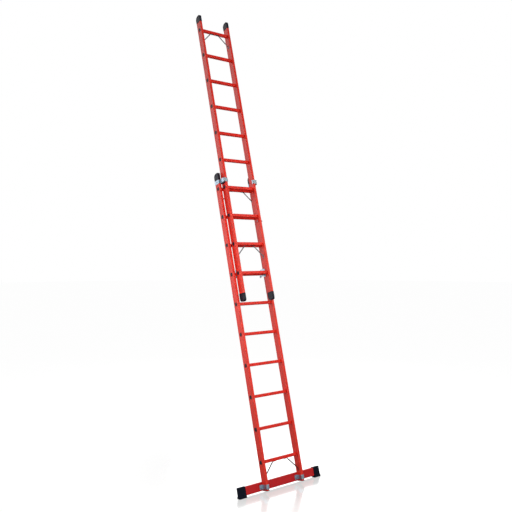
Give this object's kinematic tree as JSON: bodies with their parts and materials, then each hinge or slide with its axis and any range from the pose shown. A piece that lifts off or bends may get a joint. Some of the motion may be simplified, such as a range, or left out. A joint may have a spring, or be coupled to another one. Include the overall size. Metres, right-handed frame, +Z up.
{
  "type": "extension ladder",
  "caption": "Two-section push-up extension ladder in red glass fibre, with box stiles, square rungs, latching rung hooks and a stabiliser bar on rubber feet.",
  "frame": {"origin": "on the floor, under the middle of the leaning ladder's box", "axes": "+Z up, +X to the climber's right along the rungs, +Y from the climber's side towards the wall; the stiles lean 15.5 degrees towards +Y"},
  "size_m": [0.922, 1.2262, 4.4698],
  "materials": {
    "red_stile": "pultruded glass-fibre polyester, satin, fine lengthwise fibre streaks",
    "red_rung": "pultruded glass-fibre polyester, satin",
    "red_bar": "pultruded glass-fibre polyester, satin",
    "black_plastic": "moulded, fine grain",
    "black_rubber": "matt",
    "zinc_steel": "zinc plated",
    "dull_steel": "dull galvanised rod"
  },
  "bodies": {
    "base_section": {"base_stile_left": "red_stile", "base_stile_right": "red_stile", "base_rung_1": "red_rung", "base_rung_2": "red_rung", "base_rung_3": "red_rung", "base_rung_4": "red_rung", "base_rung_5": "red_rung", "base_rung_6": "red_rung", "base_rung_7": "red_rung", "base_rung_8": "red_rung", "base_rung_9": "red_rung", "base_rung_10": "red_rung", "base_top_cap_left": "black_plastic", "base_top_cap_right": "black_plastic", "base_end_plug_left": "black_plastic", "base_end_plug_right": "black_plastic", "base_brace_bottom_left": "dull_steel", "base_brace_bottom_right": "dull_steel", "base_brace_top_left": "dull_steel", "base_brace_top_right": "dull_steel", "guide_bracket_left": "zinc_steel", "guide_bracket_right": "zinc_steel", "guide_glide_left": "black_plastic", "guide_glide_right": "black_plastic", "guide_bolt_left": "zinc_steel", "guide_bolt_right": "zinc_steel", "stabiliser_bar": "red_bar", "stabiliser_bracket_left": "zinc_steel", "stabiliser_bracket_right": "zinc_steel", "stabiliser_bolt_left_inner": "zinc_steel", "stabiliser_bolt_left_outer": "zinc_steel", "stabiliser_bolt_right_inner": "zinc_steel", "stabiliser_bolt_right_outer": "zinc_steel", "stabiliser_foot_left": "black_rubber", "stabiliser_foot_right": "black_rubber"},
    "fly_section": {"fly_stile_left": "red_stile", "fly_stile_right": "red_stile", "fly_rung_1": "red_rung", "fly_rung_2": "red_rung", "fly_rung_3": "red_rung", "fly_rung_4": "red_rung", "fly_rung_5": "red_rung", "fly_rung_6": "red_rung", "fly_rung_7": "red_rung", "fly_rung_8": "red_rung", "fly_rung_9": "red_rung", "fly_rung_10": "red_rung", "fly_top_cap_left": "black_plastic", "fly_top_cap_right": "black_plastic", "fly_shoe_left": "black_plastic", "fly_shoe_right": "black_plastic", "fly_brace_lower_left": "dull_steel", "fly_brace_lower_right": "dull_steel", "fly_brace_top_left": "dull_steel", "fly_brace_top_right": "dull_steel", "fly_stop_bolt": "zinc_steel", "fly_hook_left": "zinc_steel", "fly_hook_right": "zinc_steel"},
    "latch_left": {"fly_latch_left": "zinc_steel"},
    "latch_right": {"fly_latch_right": "zinc_steel"}
  },
  "joints": [
    {"name": "fly_slide", "type": "slide", "parent": "base_section", "child": "fly_section", "axis": [0, 0.2672, 0.9636], "range_m": [-1.68, 0]},
    {"name": "left_latch_pivot", "type": "hinge", "parent": "fly_section", "child": "latch_left", "pos_m": [-0.1434, -0.05173, 1.8412], "axis": [1, 0, 0], "range_deg": [0, 90], "stiffness_Nm_per_rad": 0.05, "springref_deg": -20.05},
    {"name": "right_latch_pivot", "type": "hinge", "parent": "fly_section", "child": "latch_right", "pos_m": [0.1434, -0.05173, 1.8412], "axis": [1, 0, 0], "range_deg": [0, 90], "stiffness_Nm_per_rad": 0.05, "springref_deg": -20.05}
  ]
}
